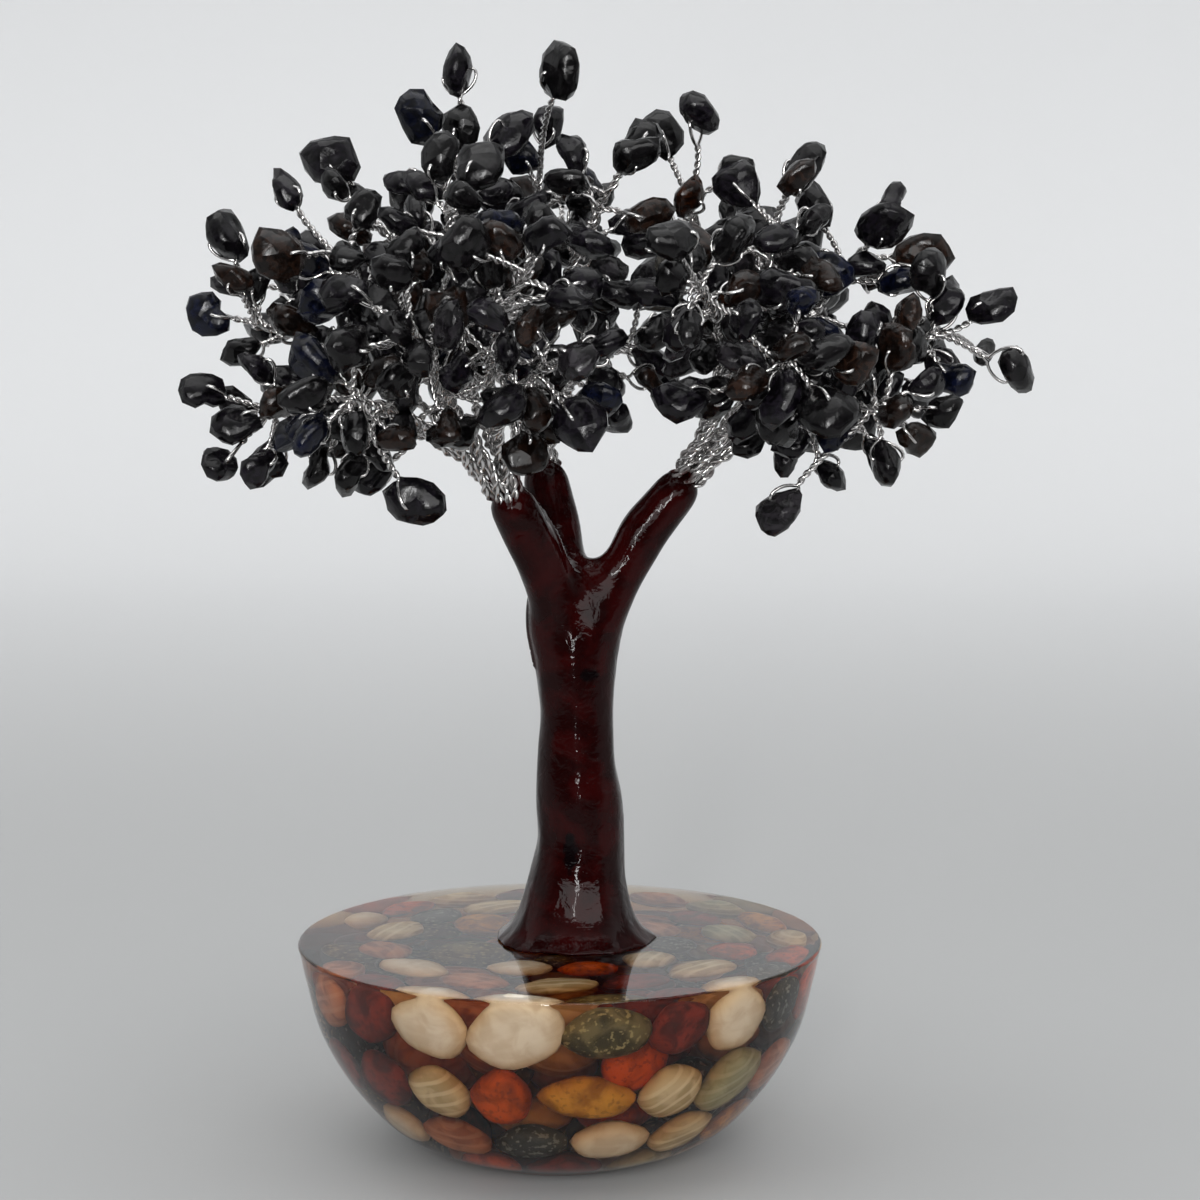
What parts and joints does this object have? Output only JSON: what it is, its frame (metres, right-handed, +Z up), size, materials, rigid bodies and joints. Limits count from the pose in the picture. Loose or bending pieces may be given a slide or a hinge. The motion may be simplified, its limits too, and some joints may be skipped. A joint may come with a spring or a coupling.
{
  "type": "gemstone tree ornament",
  "caption": "Ornamental tree: polished stone chips on twisted wire twigs, a painted forked trunk, and a clear resin dome base full of river pebbles.",
  "frame": {"origin": "centre of the dome's flat foot, on the surface it stands on", "axes": "+Z up along the trunk, +X to the viewer's right, +Y away from the viewer"},
  "size_m": [0.1273, 0.1019, 0.1687],
  "materials": {
    "white_stone": "tumbled smooth, set in resin",
    "cream_stone": "tumbled smooth, set in resin",
    "orange_stone": "tumbled smooth, set in resin",
    "red_stone": "tumbled smooth, set in resin",
    "ochre_stone": "tumbled smooth, set in resin",
    "speckled_green_stone": "tumbled smooth, set in resin",
    "dark_grey_stone": "tumbled smooth, set in resin",
    "sage_stone": "tumbled smooth, set in resin",
    "salmon_stone": "tumbled smooth, set in resin",
    "chip_stone": "tumbled and polished",
    "wire": "bright drawn wire",
    "enamel": "glossy brushed enamel over paste",
    "resin": "clear cast resin"
  },
  "bodies": {
    "root": {"cream_pebbles": "cream_stone", "dark_grey_pebbles": "dark_grey_stone", "front_left_chips_1": "chip_stone", "front_left_chips_2": "chip_stone", "front_left_chips_3": "chip_stone", "front_left_chips_4": "chip_stone", "front_left_chips_5": "chip_stone", "front_left_chips_6": "chip_stone", "front_left_chips_7": "chip_stone", "front_left_chips_8": "chip_stone", "front_left_wires_1": "wire", "front_left_wires_2": "wire", "front_left_wires_3": "wire", "front_left_wires_4": "wire", "front_left_wires_5": "wire", "front_left_wires_6": "wire", "front_left_wires_7": "wire", "front_left_wires_8": "wire", "ochre_pebbles": "ochre_stone", "orange_pebbles": "orange_stone", "rear_left_chips_1": "chip_stone", "rear_left_chips_2": "chip_stone", "rear_left_chips_3": "chip_stone", "rear_left_chips_4": "chip_stone", "rear_left_chips_5": "chip_stone", "rear_left_chips_6": "chip_stone", "rear_left_chips_7": "chip_stone", "rear_left_chips_8": "chip_stone", "rear_left_wires_1": "wire", "rear_left_wires_2": "wire", "rear_left_wires_3": "wire", "rear_left_wires_4": "wire", "rear_left_wires_5": "wire", "rear_left_wires_6": "wire", "rear_left_wires_7": "wire", "rear_left_wires_8": "wire", "red_pebbles": "red_stone", "resin_dome": "resin", "right_chips_1": "chip_stone", "right_chips_2": "chip_stone", "right_chips_3": "chip_stone", "right_chips_4": "chip_stone", "right_chips_5": "chip_stone", "right_chips_6": "chip_stone", "right_chips_7": "chip_stone", "right_chips_8": "chip_stone", "right_wires_1": "wire", "right_wires_2": "wire", "right_wires_3": "wire", "right_wires_4": "wire", "right_wires_5": "wire", "right_wires_6": "wire", "right_wires_7": "wire", "right_wires_8": "wire", "sage_pebbles": "sage_stone", "salmon_pebbles": "salmon_stone", "speckled_green_pebbles": "speckled_green_stone", "trunk_coating": "enamel", "white_pebbles": "white_stone", "wire_core": "wire"}
  },
  "joints": []
}
